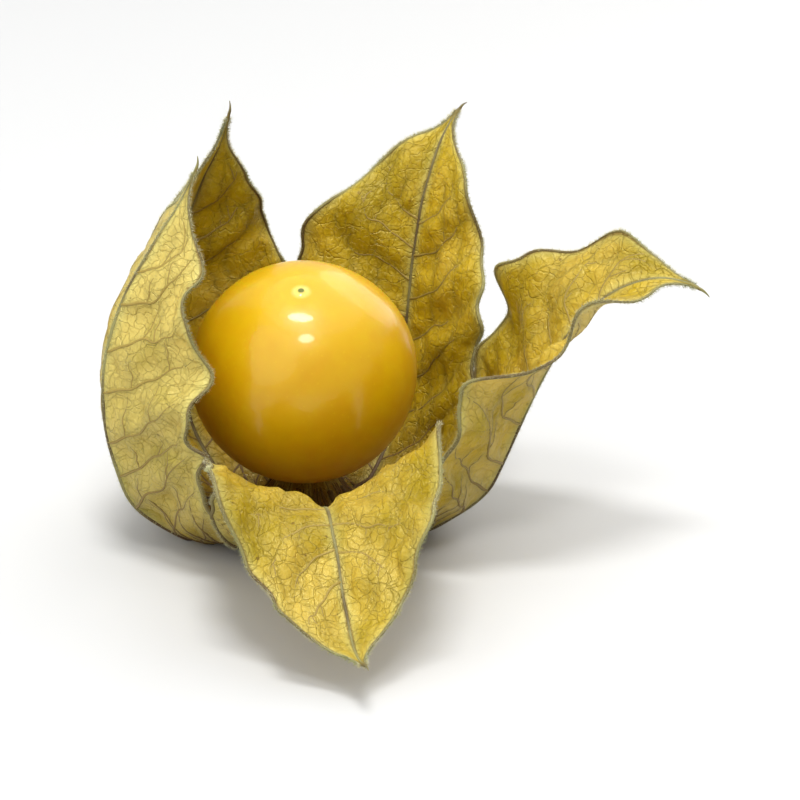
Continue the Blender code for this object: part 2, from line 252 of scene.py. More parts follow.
across_x = np.array([1.0, 0.0, 0.0])
distances, radii = (np.array(v) for v in zip(*STEM_PROFILE))
along = np.linspace(0.0, STEM_LENGTH, STEM_RINGS)
along = np.concatenate([along, np.full(len(CUT_RINGS), STEM_LENGTH)])
turns = np.linspace(0.0, 2 * math.pi, STEM_TURNS, endpoint=False)
stem_points, stem_cut = [], []
for k, distance in enumerate(along):
    centre, axis = stem_line(distance)
    radius = np.interp(distance, distances, radii)
    twist = STEM_RIB_TWIST * distance / STEM_LENGTH
    ribs = 1.0 - STEM_RIB_DEPTH * (1 + np.cos(STEM_RIBS * turns + twist)) / 2
    ribs = ribs - STEM_RIPPLE * np.sin(3 * turns + STEM_RIPPLE_TURN * distance)
    inset, lift, shade = CUT_RINGS.get(k - len(along), (1.0, 0.0, 0.0))
    out = np.cos(turns)[:, None] * across_x + np.sin(turns)[:, None] * np.cross(across_x, axis)
    stem_points.append(centre + lift * axis + (radius * inset * ribs)[:, None] * out)
    stem_cut.append(np.full(STEM_TURNS, shade))
ends = [stem_points[0].mean(axis=0), stem_points[-1].mean(axis=0)]
stem_mesh = np.concatenate([*stem_points, ends])
stem_mesh[-1] += PITH_RAISE * stem_line(STEM_LENGTH)[1]
cut_end = np.concatenate([*stem_cut, [0.0, 1.0]])
down_stem = np.concatenate([np.repeat(along / STEM_LENGTH, STEM_TURNS), [0.0, 1.0]])

bark, start = new_finish("stem_bark")
place = start.place()
fibres = place.move("MULTIPLY", BARK_STRETCH).cloud(BARK_FIBRE, 4.0)
patches = place.cloud(BARK_PATCH)
lower = start.value("down")
cut_face = start.value("cut")
skin = colour(start, STEM_GREEN).blend(STEM_STRAW, patches.rise(0.35, 0.65))
skin = skin.blend(STEM_BROWN, fibres.rise(0.5, 0.75) * 0.6)
skin = skin.blend(STEM_BROWN, lower.rise(0.35, 0.1) * 0.5)
skin = skin.blend(PITH_PALE, cut_face.rise(0.05, 0.4) * 0.9)
skin = skin.blend(STEM_BROWN, cut_face.rise(0.68, 0.9) * 0.8)
end_finish(
    start,
    {"Base Color": skin, "Roughness": 0.55 + 0.25 * patches, "Normal": fibres.relief(BARK_RELIEF)},
)
stem = piece(
    "cut_stem",
    stem_mesh,
    closed_faces(len(along), STEM_TURNS),
    bark,
    "stem_bark",
    (("down", down_stem), ("cut", cut_end)),
)
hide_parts("stem")

# The berry. One juicy round fruit with a thin, waxy, golden skin, dimpled where it sits on the stem,
# and with the small green dot of its scar at the other end.
BERRY_RADIUS = 9.0 * MM
BERRY_FLATTENING = 0.97
SEAT_DIMPLE_DEPTH = 0.5 * MM
SEAT_DIMPLE_RADIUS = 2.6 * MM
SCAR_DIMPLE_DEPTH = 0.18 * MM
SCAR_DIMPLE_RADIUS = 1.1 * MM
SCAR_POINT_HEIGHT = 0.3 * MM
SCAR_POINT_RADIUS = 0.35 * MM
CLEARANCE = 0.3 * MM
BERRY_TURNS = 168
BERRY_RINGS = 96
# How far the berry is from round: a little oval, and faintly three-sided.
BERRY_OVAL = 0.004
BERRY_CORNERS = 0.0025
# Distances from the scar, between which the skin changes its colour: paler over the top as painted light,
# darker towards the seat as painted shade, and the real ring and dot of the scar.
PAINTED_LIGHT_REACH = (9 * MM, 1.5 * MM)
PAINTED_SHADE_REACH = (13 * MM, 19 * MM)
SCAR_RING = (0.95 * MM, 0.5 * MM)
SCAR_SPOT = (0.36 * MM, 0.2 * MM)
FLESH_PATCH = 3.2 * MM
FLESH_DEPTH = 2.6 * MM
PORE_SIZE = 0.55 * MM
SKIN_GRAIN = 0.16 * MM
SKIN_RELIEF = 0.012 * MM
BERRY_GOLD = (0.57, 0.333, 0.001, 1)
BERRY_AMBER = (0.50, 0.235, 0.001, 1)
BERRY_LEMON = (0.61, 0.40, 0.004, 1)
SCAR_PALE = (0.70, 0.60, 0.16, 1)
SCAR_GREEN = (0.10, 0.12, 0.015, 1)

seat, berry_axis = stem_line(0.0)
berry_side = np.cross(berry_axis, across_x)
lowest = -BERRY_RADIUS * BERRY_FLATTENING + SEAT_DIMPLE_DEPTH
berry_middle = seat + berry_axis * (CLEARANCE - lowest)
angles = np.linspace(-math.pi / 2, math.pi / 2, BERRY_RINGS + 1)[1:-1]
turns = np.linspace(0, 2 * math.pi, BERRY_TURNS, endpoint=False)
ring_angle, turn = np.meshgrid(angles, turns, indexing="ij")
swell = 1.0 + BERRY_OVAL * np.sin(2 * turn + 0.6) * np.cos(ring_angle)
swell = swell + BERRY_CORNERS * np.sin(3 * turn + 2 * ring_angle)
flat = BERRY_RADIUS * np.cos(ring_angle) * swell
height = BERRY_RADIUS * BERRY_FLATTENING * np.sin(ring_angle)
dimple = SEAT_DIMPLE_DEPTH * bump(0.0, SEAT_DIMPLE_RADIUS, flat)
scar = SCAR_POINT_HEIGHT * bump(0.0, SCAR_POINT_RADIUS, flat)
scar = scar - SCAR_DIMPLE_DEPTH * bump(0.0, SCAR_DIMPLE_RADIUS, flat)
height = height + np.where(ring_angle < 0, dimple, 0.0) + np.where(ring_angle > 0, scar, 0.0)
berry_points = (
    berry_middle
    + (flat * np.cos(turn))[..., None] * across_x
    + (flat * np.sin(turn))[..., None] * berry_side
    + height[..., None] * berry_axis
).reshape(-1, 3)
base_point = berry_middle + lowest * berry_axis
tip_height = BERRY_RADIUS * BERRY_FLATTENING + SCAR_POINT_HEIGHT - SCAR_DIMPLE_DEPTH
tip_point = berry_middle + tip_height * berry_axis

fruit_skin, start = new_finish("berry_skin")
place = start.place()
from_scar = place.distance(tip_point)
flesh = place.cloud(FLESH_PATCH, 2.0)
pores = place.cells(PORE_SIZE)
fine = place.cloud(SKIN_GRAIN, 2.0)
gold = colour(start, BERRY_GOLD).blend(BERRY_AMBER, flesh.rise(0.35, 0.75) * 0.45)
# Painted light: the top of the berry, round the scar, is painted paler.
gold = gold.blend(BERRY_LEMON, from_scar.rise(*PAINTED_LIGHT_REACH) * 0.55)
gold = gold.blend(BERRY_LEMON, pores.rise(0.22, 0.08) * 0.35)
# Painted shade: the lower berry, towards the seat, is painted darker.
gold = gold.blend(BERRY_AMBER, from_scar.rise(*PAINTED_SHADE_REACH) * 0.6)
ring = from_scar.rise(*SCAR_RING)
gold = gold.blend(SCAR_PALE, ring * 0.7).blend(SCAR_GREEN, from_scar.rise(*SCAR_SPOT))
end_finish(
    start,
    {
        "Base Color": gold,
        "Roughness": 0.30 + 0.08 * flesh + 0.3 * ring,
        "Specular IOR Level": 0.28,
        "Subsurface Weight": 0.6,
        "Subsurface Radius": (1.0, 0.45, 0.08),
        "Subsurface Scale": FLESH_DEPTH,
        "Coat Weight": 0.30,
        "Coat Roughness": 0.05,
        "Normal": (fine * 0.35 + pores * 0.65).relief(SKIN_RELIEF),
    },
)
berry = piece(
    "berry_fruit",
    np.concatenate([berry_points, [base_point, tip_point]]),
    closed_faces(len(angles), BERRY_TURNS),
    fruit_skin,
    "berry_skin",
)
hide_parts("berry")

# The husk. The fruit's papery calyx, grown as one piece from joined leaves and dried to straw and
# olive brown. It is torn open from the tip into lobes, and every lobe has a ribbed back and waved edges.
HUSK_HOLE_RADIUS = 1.55 * MM
HUSK_HOLE_HEIGHT = 4.45 * MM
HUSK_HOLE_ON_STEM = 1.95 * MM
LOBE_COUNT = 5
LOBE_LENGTH = 44.0 * MM
SPINE_SAMPLES = 881

# The slope of the husk's wall along an arc, the same all round near the stem.
BASE_ARCS = (0.0 * MM, 3.5 * MM, 7.5 * MM)
BASE_SLOPES = (-50.0, -50.0, 0.0)
# Further out every lobe has slopes of its own, at these arcs.
LOBE_ARCS = (12.0 * MM, 16.0 * MM, 21.0 * MM, 27.0 * MM, 34.0 * MM, 44.0 * MM)

# Half the width of a lobe along its arc.
WIDTH_ARCS = tuple(arc * MM for arc in (0.0, 9.0, 13.0, 18.0, 24.0, 30.0, 36.0, 41.0, 44.0))
HALF_WIDTHS = tuple(width * MM for width in (4.0, 6.6, 8.7, 9.8, 10.0, 8.8, 5.5, 2.1, 0.8))

# The cup changes from a round wall into five separate blades between these arcs.
CUP_END = 9.0 * MM
BLADE_START = 17.0 * MM
CUP_CAMBER = 36.0
# A blade's edges take up their waves and their curl over this length.
EDGE_RISE = 8.0 * MM

# The five shoulders: how far the valleys between them rise, and how far their walls draw in.
SHOULDER_ARC = 7.5 * MM
SHOULDER_SPREAD = 3.6 * MM
VALLEY_RISE = 2.0 * MM
VALLEY_DRAW_IN = 0.07
FOOT_SINK = 0.28 * MM

# Pleats run out from the stem, three to a lobe.
PLEATS_PER_LOBE = 3
PLEAT_DEPTH = 0.32 * MM
PLEAT_ARC = 5.0 * MM
PLEAT_SPREAD = 3.4 * MM

# A lobe's keel and flutes, as shares of half its width, and how two lobes part above their tear.
KEEL_DEPTH = 0.16
FLUTE_DEPTH = 0.07
SEAM_OPENING = 5.5 * MM
TEAR_HALF_GAP = 0.45 * MM
TEAR_OPENING = 1.8 * MM

# Folds between the ribs run forwards from each lobe's middle rib to its edges.
FOLD_HEIGHT = 0.38 * MM
FOLD_LENGTH = 5.6 * MM
FOLD_SWEEP = 6.0 * MM


class Lobe:
    """One of the husk's five lobes, and the tear between it and the next lobe."""

    def __init__(self, azimuth, slopes, lean, twist, camber, tear_arc, wave, curl, width=1.0):
        self.azimuth = math.radians(azimuth)
        self.slopes = slopes
        self.lean = math.radians(lean)
        self.twist = math.radians(twist)
        self.camber = math.radians(camber)
        self.tear_arc = tear_arc
        self.wave = wave
        self.curl = curl
        self.width = width


# Azimuth is measured from +X, slopes are at LOBE_ARCS, lean is sideways, towards the next lobe.
# wave holds the height, the length and the phase of the waves along a lobe's two edges.
LOBES = (
    Lobe(348, (42, 64, 68, 62, 40, -30), 8, -30, 26, 20 * MM, (1.6 * MM, 9 * MM, 0.4), -0.10, 1.04),
    Lobe(60, (43, 72, 80, 80, 70, 30), -6, -6, 32, 27 * MM, (1.2 * MM, 10 * MM, 2.1), 0.06),
    Lobe(132, (43, 68, 78, 92, 106, 106), -8, -10, 34, 32 * MM, (1.0 * MM, 11 * MM, 4.0), 0.05, 0.97),
    Lobe(204, (42, 67, 78, 96, 114, 112), 6, -6, 36, 15.5 * MM, (1.1 * MM, 9 * MM, 1.2), -0.06, 0.97),
    Lobe(276, (41, 60, 46, -12, -46, 22), 6, -10, 26, 16.5 * MM, (1.2 * MM, 9 * MM, 5.3), -0.10, 0.94),
)


def curve_through(x, xs, ys):
    """A smooth curve through the points (xs, ys), read at x."""
    xs, ys = np.asarray(xs, float), np.asarray(ys, float)
    slopes = np.gradient(ys, xs)
    k = np.clip(np.searchsorted(xs, x) - 1, 0, len(xs) - 2)
    step = xs[k + 1] - xs[k]
    u = (x - xs[k]) / step
    start = (1 + 2 * u) * (1 - u) ** 2 * ys[k] + u * (1 - u) ** 2 * step * slopes[k]
    end = u * u * (3 - 2 * u) * ys[k + 1] + u * u * (u - 1) * step * slopes[k + 1]
    return start + end


def unit(vectors):
    """The vectors at length 1."""
    return vectors / np.linalg.norm(vectors, axis=-1, keepdims=True)


def spine_of(lobe, arcs):
    """A lobe's middle line: its distance out, height and sideways drift, with its slope and lean."""
    fine = np.linspace(0.0, LOBE_LENGTH, SPINE_SAMPLES)
    slope = np.radians(curve_through(fine, BASE_ARCS + LOBE_ARCS, BASE_SLOPES + lobe.slopes))
    lean = lobe.lean * smooth_step(BLADE_START, LOBE_LENGTH, fine)
    steps = {
        "out": np.cos(lean) * np.cos(slope),
        "up": np.cos(lean) * np.sin(slope),
        "side": np.sin(lean),
    }
    start = {"out": HUSK_HOLE_RADIUS, "up": HUSK_HOLE_HEIGHT, "side": 0.0}
    spine = {"slope": np.interp(arcs, fine, slope), "lean": np.interp(arcs, fine, lean)}
    for name, rate in steps.items():
        middle = (rate[1:] + rate[:-1]) / 2 * np.diff(fine)
        spine[name] = start[name] + np.interp(arcs, fine, np.concatenate([[0.0], np.cumsum(middle)]))
    return spine


def around(azimuth):
    """The horizontal directions out from the husk's axis and round it, at an azimuth."""
    zero = np.zeros_like(azimuth)
    out = np.stack([np.cos(azimuth), np.sin(azimuth), zero], axis=-1)
    side = np.stack([-np.sin(azimuth), np.cos(azimuth), zero], axis=-1)
    return out, side


def husk_centre(arcs):
    """The middle of the husk's rings: round the stem behind the axis, and on the axis further out."""
    share = (1.0 - smooth_step(0.0, SHOULDER_ARC, arcs))[..., None]
    hole, _ = stem_line(HUSK_HOLE_ON_STEM)
    axis = np.array([HUSK_AXIS[0], HUSK_AXIS[1], 0.0])
    return axis + share * (np.array([hole[0], hole[1], 0.0]) - axis)


def cup_points(lobe, spine, arcs, across):
    """The husk's wall where it is still one round cup."""
    turn = across * math.pi / LOBE_COUNT
    out, _ = around(lobe.azimuth + turn)
    valley = (1.0 - np.cos(LOBE_COUNT * turn)) / 2
    shoulder = bump(SHOULDER_ARC, SHOULDER_SPREAD, arcs)
    draw_in = VALLEY_DRAW_IN * valley * smooth_step(0.0, SHOULDER_ARC, arcs)
    pleats = (1.0 - np.cos(2 * math.pi * PLEATS_PER_LOBE * (across + 1) / 2)) / 2
    pleats = pleats * PLEAT_DEPTH * bump(PLEAT_ARC, PLEAT_SPREAD, arcs)
    pleats = pleats * smooth_step(1 * MM, 5 * MM, arcs)
    height = spine["up"] + VALLEY_RISE * valley * shoulder + pleats
    up = np.array([0.0, 0.0, 1.0])
    return (
        husk_centre(arcs)
        + (spine["out"] * (1.0 - draw_in))[..., None] * out
        + height[..., None] * up
    )


def half_width(lobe, arcs):
    """Half the width of a lobe."""
    return lobe.width * curve_through(arcs, WIDTH_ARCS, HALF_WIDTHS)


def tip_fade(lobe, arcs):
    """1 along a lobe, falling to 0 as it narrows to its tip."""
    return smooth_step(1 * MM, 7 * MM, half_width(lobe, arcs))


def blade_points(lobe, spine, arcs, across):
    """A lobe as a cambered blade along its spine, with a keel and waved edges."""
    out, side = around(np.full_like(arcs, lobe.azimuth))
    up = np.array([0.0, 0.0, 1.0])
    cos_slope, sin_slope = np.cos(spine["slope"])[..., None], np.sin(spine["slope"])[..., None]
    cos_lean, sin_lean = np.cos(spine["lean"])[..., None], np.sin(spine["lean"])[..., None]
    climb = cos_slope * out + sin_slope * up
    breadth = cos_lean * side - sin_lean * climb
    outward = sin_slope * out - cos_slope * up

    free = smooth_step(BLADE_START, LOBE_LENGTH, arcs)
    twist = (lobe.twist * free)[..., None]
    breadth, outward = (
        np.cos(twist) * breadth + np.sin(twist) * outward,
        np.cos(twist) * outward - np.sin(twist) * breadth,
    )

    half = half_width(lobe, arcs)
    camber = np.radians(CUP_CAMBER) + (lobe.camber - np.radians(CUP_CAMBER)) * free
    edge = np.abs(across)
    torn = smooth_step(BLADE_START, BLADE_START + EDGE_RISE, arcs)
    tail = tip_fade(lobe, arcs)
    height, length, phase = lobe.wave
    wave = height * torn * tail * edge**2.5 * np.sin(
        2 * math.pi * arcs / length + phase + 1.7 * np.sign(across)
    )
    keel = KEEL_DEPTH * half * (1.0 - np.sqrt(across**2 + 0.02))
    keel = keel * smooth_step(CUP_END, BLADE_START, arcs) * smooth_step(0.5 * MM, 4 * MM, half)
    folds = FOLD_HEIGHT * tail * 4 * edge * (1 - edge) * np.sin(
        2 * math.pi * (arcs - FOLD_SWEEP * edge) / FOLD_LENGTH + phase + np.sign(across)
    )
    sideways = half * np.sin(camber * across) / camber
    offset = (
        -half * (1.0 - np.cos(camber * across)) / camber
        + keel
        - FLUTE_DEPTH * half * np.sin(math.pi * across) ** 2
        + lobe.curl * half * torn * np.clip(edge - 0.55, 0.0, 1.0) ** 2 / 0.2
        + wave
        + folds
    )
    middle = (
        husk_centre(arcs)
        + spine["out"][..., None] * out
        + spine["side"][..., None] * side
        + spine["up"][..., None] * up
    )
    return middle + sideways[..., None] * breadth + offset[..., None] * outward


def lobe_points(lobe, arcs, across):
    """A lobe on its own, before it is joined to its neighbours."""
    spine = spine_of(lobe, arcs)
    blend = smooth_step(CUP_END, BLADE_START, arcs)[..., None]
    cup = cup_points(lobe, spine, arcs, across)
    blade = blade_points(lobe, spine, arcs, across)
    return cup * (1.0 - blend) + blade * blend


def husk_points(index, arcs, across):
    """A lobe with each side drawn to the seam shared with its neighbour, as far up as the tear."""
    lobe = LOBES[index]
    before, after = LOBES[index - 1], LOBES[(index + 1) % LOBE_COUNT]
    own = lobe_points(lobe, arcs, across)
    ones = np.ones_like(across)
    for side, left, right, tear in (
        (1.0, lobe, after, lobe.tear_arc),
        (-1.0, before, lobe, before.tear_arc),
    ):
        seam = (lobe_points(left, arcs, ones) + lobe_points(right, arcs, -ones)) / 2
        edge = lobe_points(lobe, arcs, side * ones)
        above = np.clip(arcs - tear, 0.0, None)
        hold = np.exp(-((above / SEAM_OPENING) ** 2))
        gap = TEAR_HALF_GAP * smooth_step(0.0, TEAR_OPENING, above) * tip_fade(lobe, arcs)
        inwards = unit(lobe_points(lobe, arcs, 0.8 * side * ones) - edge)
        pull = (seam - edge) * hold[..., None] + inwards * gap[..., None]
        share = smooth_step(0.15, 1.0, side * across)[..., None]
        own = own + pull * share
    return own


# The dried leaf itself: a thin sheet, raised along its ribs and veins and puckered between them.
SHEET_THICKNESS = 0.15 * MM
SHEET_ROWS = 121
SHEET_COLUMNS = 56
RIB_RAISE = 0.24 * MM
RIB_SPREAD = 0.55 * MM
VEIN_RAISE = 0.09 * MM
VEIN_SPREAD = 0.40 * MM
PUCKER = 0.20 * MM
CREASE = 0.30 * MM
LONG_FOLD = 0.20 * MM
LONG_FOLD_WIDTH = 4.6
CALM_BESIDE_VEINS = 1.1 * MM
NOTCH = 0.045
# How far each lobe has faded to straw, in the order of the lobes, and what the husk's base has.
LOBE_FADED = (0.52, 0.46, 0.42, 0.84, 0.54)
BASE_FADED = 0.5
FADE_ARCS = (9 * MM, 22 * MM)
# Each lobe's place in the leaf map is this many millimetres from the last.
MAP_STEP = 60.0

# Side veins: where on the middle rib they start, the steps between them, how far forwards they rise
# and how much of the way to the edge they reach.
VEIN_STARTS = (7.5 * MM, 35.0 * MM)
VEIN_STAGGER = 1.2 * MM
VEIN_STEPS = (2.5, 4.0)
VEIN_RISES = (6.5, 9.0)
VEIN_REACHES = (0.90, 0.99)
VEIN_POINTS = 26
# Each side vein has two forks, which leave it at one of these points.
FORK_PLACES = ((6, 11), (12, 18))
FORK_POINTS = 12
BASE_VEIN_PLACES = (-0.78, -0.55, -0.3, 0.3, 0.55, 0.78)
BASE_VEIN_START = 1.6 * MM
LAST_VEIN_START = 41 * MM
# Radii where a vein starts, and how much thinner it ends; the base veins have their least radius second.
SIDE_VEIN = (0.145 * MM, 0.09 * MM)
FORK_VEIN = (0.10 * MM, 0.05 * MM)
BASE_VEIN = (0.155 * MM, 0.03 * MM)

# The puckers are waves of these lengths in millimetres, each with its direction, phase and weight.
PUCKER_COUNT = 14
PUCKER_LENGTHS = (1.3, 5.2)
chance = np.random.default_rng(11)
PUCKER_WAVES = [
    (2 * math.pi / length, angle, phase, length / PUCKER_LENGTHS[1])
    for length, angle, phase in zip(
        chance.uniform(*PUCKER_LENGTHS, PUCKER_COUNT),
        chance.uniform(0, math.pi, PUCKER_COUNT),
        chance.uniform(0, 6.28, PUCKER_COUNT),
    )
]


def leaf_uv(index, arcs, across):
    """A place on a lobe in millimetres: across from its middle rib, and along."""
    return across * half_width(LOBES[index], arcs) / MM, arcs / MM


def frayed(index, arcs, across):
    """Where a place on a lobe goes when its torn edges are notched and its tip is drawn to a point."""
    for side, tear in ((1.0, LOBES[index].tear_arc), (-1.0, LOBES[index - 1].tear_arc)):
        notch = (1 + np.sin(arcs / (0.62 * MM) + 2.3 * index + side)) / 2
        notch = NOTCH * notch * (1 + np.sin(arcs / (2.1 * MM) + 1.1 * index))
        free = smooth_step(tear, tear + 3 * MM, arcs) * smooth_step(0.7, 1.0, side * across)
        across = across * (1.0 - notch * free)
    return across * (1.0 - 0.88 * smooth_step(38 * MM, 43.2 * MM, arcs))


def side_veins(index, side):
    """The veins from a lobe's middle rib to one edge: for each, its lobe, arcs, places across and radii."""
    routes = []
    first_arc, last_arc = VEIN_STARTS
    start_arc = first_arc + VEIN_STAGGER * (side > 0)
    while start_arc < last_arc:
        gap = chance.uniform(*VEIN_STEPS) * MM
        rise = chance.uniform(*VEIN_RISES) * MM * (1.0 - 0.35 * start_arc / LOBE_LENGTH)
        reach = chance.uniform(*VEIN_REACHES)
        t = np.linspace(0.0, 1.0, VEIN_POINTS)
        wander = chance.uniform(-0.5, 0.5) * np.sin(t * chance.uniform(5, 9)) * MM
        wander = wander + 0.14 * MM * np.sin(t * chance.uniform(16, 26) + chance.uniform(0, 6))
        arcs = start_arc + rise * t**1.15 + wander * np.minimum(1.0, 3 * t)
        across = side * reach * t ** chance.uniform(0.85, 1.0)
        routes.append((index, arcs, across, SIDE_VEIN[0] - SIDE_VEIN[1] * t**1.6))
        for first, last in FORK_PLACES:
            fork = int(chance.integers(first, last))
            s = np.linspace(0.0, 1.0, FORK_POINTS)
            bend = chance.uniform(-0.10, 0.16)
            fork_arcs = arcs[fork] + s * gap * chance.uniform(0.7, 1.0)
            ripple = 0.012 * np.sin(s * 11 + chance.uniform(0, 6)) * np.minimum(1, 3 * s)
            fork_across = across[fork] + side * bend * s * (1.3 - s) + ripple
            routes.append((index, fork_arcs, fork_across, FORK_VEIN[0] - FORK_VEIN[1] * s**2))
        start_arc += gap
    return routes


def base_veins(index):
    """The veins that run up a lobe from the stem, and fade on its back."""
    routes = []
    for place in BASE_VEIN_PLACES:
        end = chance.uniform(13, 19) * MM
        arcs = np.linspace(BASE_VEIN_START, end, VEIN_POINTS)
        spread = (arcs - arcs[0]) / (end - arcs[0])
        across = place * (0.8 + 0.25 * spread) + 0.03 * np.sin(9 * spread + place * 7)
        thick = BASE_VEIN[0] * (1 - spread**3) * np.minimum(1.0, 0.5 + 6 * spread) + BASE_VEIN[1]
        routes.append((index, arcs, across, thick))
    return routes


grown = []
for index in range(LOBE_COUNT):
    grown += side_veins(index, -1.0) + side_veins(index, 1.0) + base_veins(index)
ROUTES = [route for route in grown if route[1][0] < LAST_VEIN_START]
ROUTE_PLACES = []
for index in range(LOBE_COUNT):
    own = [route for route in ROUTES if route[0] == index]
    places = [np.stack(leaf_uv(index, arcs, across), axis=-1) for _, arcs, across, _ in own]
    ROUTE_PLACES.append(np.concatenate(places))


def vein_distance(index, arcs, across):
    """How far a place on a lobe is from the nearest side vein, in metres."""
    u, v = leaf_uv(index, arcs, across)
    near = np.full(u.shape, np.inf)
    for point_u, point_v in ROUTE_PLACES[index]:
        near = np.minimum(near, (u - point_u) ** 2 + (v - point_v) ** 2)
    return np.sqrt(near) * MM


def rib_distance(index, arcs, across):
    """How far a place on a lobe is from its middle rib or an edge, in metres."""
    half = half_width(LOBES[index], arcs)
    return half * np.minimum(np.abs(across), 1.0 - np.abs(across))


def leaf_height(index, arcs, across):
    """How far the leaf stands out from the smooth sheet, and how near it is to a rib and to a vein."""
    to_rib = rib_distance(index, arcs, across)
    to_vein = vein_distance(index, arcs, across)
    u, v = leaf_uv(index, arcs, across)
    pucker = np.zeros_like(u)
    for wave, angle, phase, weight in PUCKER_WAVES:
        ahead = u * math.cos(angle) + v * math.sin(angle)
        pucker += weight * np.sin(wave * ahead + phase + 1.9 * index)
    folded = np.zeros_like(u)
    for wave, angle, phase, _ in PUCKER_WAVES[:6]:
        wander = 0.7 * np.sin(0.9 * u - 0.6 * v + phase)
        beside = v * math.cos(angle) - u * math.sin(angle)
        folded += np.sin(0.55 * wave * beside + wander + phase * 3 + index)
    long_fold = np.sin(2 * math.pi * u / LONG_FOLD_WIDTH + 1.2 * np.sin(v / 6.5 + index) + 2.1 * index)
    pucker = PUCKER * pucker / 2.2 - CREASE * np.abs(folded) / 1.7 + LONG_FOLD * long_fold
    pucker = pucker * (1.0 - bump(0.0, CALM_BESIDE_VEINS, np.minimum(to_rib, to_vein)))
    ribs = bump(0.0, RIB_SPREAD, to_rib)
    veins = bump(0.0, VEIN_SPREAD, to_vein)
    calm = smooth_step(1.5 * MM, 6 * MM, arcs) * (0.15 + 0.85 * tip_fade(LOBES[index], arcs))
    height = (RIB_RAISE * ribs + VEIN_RAISE * veins * (1.0 - ribs) + pucker) * calm
    return height, ribs, veins


def leaf_point(index, arcs, across):
    """Points of the sheet with its relief, and the directions out of it and along it."""
    place = frayed(index, arcs, across)
    step = 0.02
    low, high = np.clip(place - step, -1, 1), np.clip(place + step, -1, 1)
    breadth = husk_points(index, arcs, high) - husk_points(index, arcs, low)
    before, after = np.clip(arcs - 0.2 * MM, 0, None), np.clip(arcs + 0.2 * MM, None, LOBE_LENGTH)
    length = unit(husk_points(index, after, place) - husk_points(index, before, place))
    outward = unit(np.cross(breadth, length))
    height, _, _ = leaf_height(index, arcs, across)
    points = husk_points(index, arcs, place) + height[..., None] * outward
    points[..., 2] -= FOOT_SINK
    return points, outward, length


arcs = np.linspace(0.0, LOBE_LENGTH, SHEET_ROWS)
across = np.linspace(-1.0, 1.0, SHEET_COLUMNS + 1)
arc_grid, across_grid = np.meshgrid(arcs, across, indexing="ij")
sheet_points, sheet_values, sheet_faces, face_uvs = [], [], [], []
point_of = np.zeros((LOBE_COUNT, SHEET_ROWS, SHEET_COLUMNS + 1), dtype=int)
for index, lobe in enumerate(LOBES):
    smooth_points = husk_points(index, arc_grid, frayed(index, arc_grid, across_grid))
    height, ribs, veins = leaf_height(index, arc_grid, across_grid)
    faded = BASE_FADED + (LOBE_FADED[index] - BASE_FADED) * smooth_step(*FADE_ARCS, arc_grid)
    values = np.stack([height, ribs, veins, arc_grid / LOBE_LENGTH, faded], axis=-1)
    u, v = leaf_uv(index, arc_grid, across_grid)
    uv = np.stack([u + MAP_STEP * index, v], axis=-1)
    for row in range(SHEET_ROWS):
        for column in range(SHEET_COLUMNS + 1):
            if column == 0 and index > 0 and arcs[row] <= LOBES[index - 1].tear_arc:
                point_of[index, row, column] = point_of[index - 1, row, SHEET_COLUMNS]
            elif column == SHEET_COLUMNS and index == LOBE_COUNT - 1 and arcs[row] <= lobe.tear_arc:
                point_of[index, row, column] = point_of[0, row, 0]
            else:
                point_of[index, row, column] = len(sheet_points)
                sheet_points.append(smooth_points[row, column])
                sheet_values.append(values[row, column])
    own = point_of[index]
    corners = (own[:-1, :-1], own[:-1, 1:], own[1:, 1:], own[1:, :-1])
    sheet_faces.append(np.stack([c.ravel() for c in corners], axis=1))
    corners = (uv[:-1, :-1], uv[:-1, 1:], uv[1:, 1:], uv[1:, :-1])
    face_uvs.append(np.stack([c.reshape(-1, 2) for c in corners], axis=1))
sheet_points, sheet_values = np.array(sheet_points), np.array(sheet_values)
sheet_faces, face_uvs = np.concatenate(sheet_faces), np.concatenate(face_uvs)

corners = sheet_points[sheet_faces]
crosses = np.cross(corners[:, 2] - corners[:, 0], corners[:, 3] - corners[:, 1])
normals = np.zeros_like(sheet_points)
for k in range(4):
    np.add.at(normals, sheet_faces[:, k], crosses)
normals = unit(normals)
sheet_points = sheet_points + normals * sheet_values[:, :1]
outer = sheet_points + normals * SHEET_THICKNESS / 2
inner = sheet_points - normals * SHEET_THICKNESS / 2
outer[:, 2] = np.maximum(outer[:, 2] - FOOT_SINK, 0.0)
inner[:, 2] = np.maximum(inner[:, 2] - FOOT_SINK, SHEET_THICKNESS)
count = len(sheet_points)
edges = np.concatenate([sheet_faces[:, [k, (k + 1) % 4]] for k in range(4)])
_, first, times = np.unique(np.sort(edges, axis=1), axis=0, return_index=True, return_counts=True)
open_edges = edges[first[times == 1]]
edge_uvs = np.concatenate([face_uvs[:, [k, (k + 1) % 4]] for k in range(4)])[first[times == 1]]
edge_from, edge_to = open_edges[:, 0], open_edges[:, 1]
rim_faces = np.stack([edge_to, edge_from, edge_from + count, edge_to + count], axis=1)
rim_uvs = edge_uvs[:, [1, 0, 0, 1]]
husk_faces = np.concatenate([sheet_faces, sheet_faces[:, ::-1] + count, rim_faces])
husk_uvs = np.concatenate([face_uvs, face_uvs[:, ::-1], rim_uvs])
both = np.concatenate([sheet_values, sheet_values])
inside = np.repeat([0.0, 1.0], count)

STRAW = (0.90, 0.75, 0.22, 1)
GOLD = (0.63, 0.462, 0.010, 1)
OLIVE = (0.37, 0.308, 0.008, 1)
PAINTED_GLOW = (0.56, 0.345, 0.006, 1)
UMBER = (0.115, 0.045, 0.010, 1)
GREY_GREEN = (0.40, 0.38, 0.13, 1)
VEIN_BROWN = (0.21, 0.135, 0.014, 1)
GLOW = (0.70, 0.52, 0.03, 1)
SHEEN_TINT = (1.0, 0.86, 0.42, 1)

